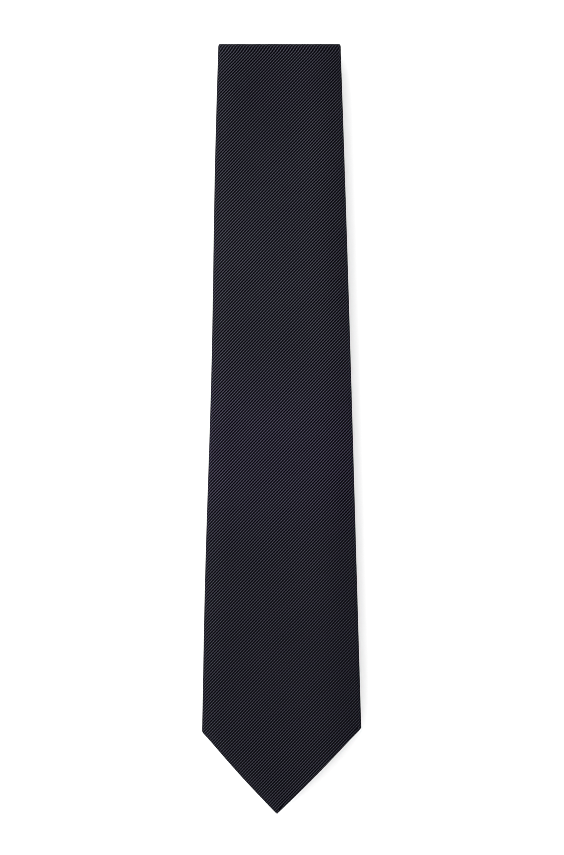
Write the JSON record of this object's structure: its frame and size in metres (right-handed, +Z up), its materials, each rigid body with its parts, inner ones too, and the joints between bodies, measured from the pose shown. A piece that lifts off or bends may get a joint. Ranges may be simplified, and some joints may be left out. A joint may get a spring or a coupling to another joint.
{
  "type": "necktie",
  "caption": "Necktie folded in quarters: pointed wide blade on top of two neck layers and the narrow tail, lined core, open back seams and a keeper loop.",
  "frame": {"origin": "on the table under the middle of the folded tie", "axes": "+Z up from the table, +Y from the blade's point towards the top fold, +X to the right of someone looking down on the blade with its point nearest them"},
  "size_m": [0.08, 0.3864, 0.0159],
  "materials": {
    "outer_cloth": "fine diagonal twill, dark navy charcoal, matt",
    "core": "felted wool interlining, undyed",
    "satin": "satin lining, dark",
    "thread": "sewing thread, dark",
    "label_cloth": "woven label, blank",
    "tag_cloth": "printed tape, blank"
  },
  "bodies": {
    "tail": {"tail_shell": "outer_cloth", "tail_interlining": "core", "tail_tipping": "satin", "tail_bar_tack": "thread", "tail_slip_stitch": "thread", "tail_fold_shell": "outer_cloth", "tail_fold_interlining": "core"},
    "rear_neck": {"neck_shell_rear": "outer_cloth", "bias_seam_rear": "thread", "tail_shell_upper": "outer_cloth", "neck_interlining_rear": "core", "tail_interlining_upper": "core", "neck_slip_stitch_rear": "thread", "neck_fold_shell": "outer_cloth", "neck_fold_interlining": "core"},
    "front_neck": {"blade_shell_upper": "outer_cloth", "bias_seam_front": "thread", "neck_shell_front": "outer_cloth", "blade_interlining_upper": "core", "neck_interlining_front": "core", "neck_slip_stitch_front": "thread", "top_fold_shell": "outer_cloth", "top_fold_interlining": "core"},
    "blade": {"blade_shell": "outer_cloth", "blade_interlining": "core", "blade_tipping": "satin", "blade_bar_tack": "thread", "blade_slip_stitch": "thread", "keeper_loop": "outer_cloth", "keeper_tack_left": "thread", "keeper_tack_right": "thread", "label": "label_cloth", "care_tag": "tag_cloth"}
  },
  "joints": [
    {"name": "tail_fold", "type": "hinge", "parent": "tail", "child": "rear_neck", "pos_m": [0, 0.18915, 0.00365], "axis": [-1, 0, 0], "range_deg": [0, 179.9], "deforming": ["tail_fold_shell", "tail_fold_interlining"]},
    {"name": "neck_fold", "type": "hinge", "parent": "rear_neck", "child": "front_neck", "pos_m": [0, -0.16911, 0.00755], "axis": [1, 0, 0], "range_deg": [0, 179.9], "deforming": ["neck_fold_shell", "neck_fold_interlining"]},
    {"name": "top_fold", "type": "hinge", "parent": "front_neck", "child": "blade", "pos_m": [0, 0.18915, 0.01185], "axis": [-1, 0, 0], "range_deg": [0, 179.9], "deforming": ["top_fold_shell", "top_fold_interlining"]}
  ]
}
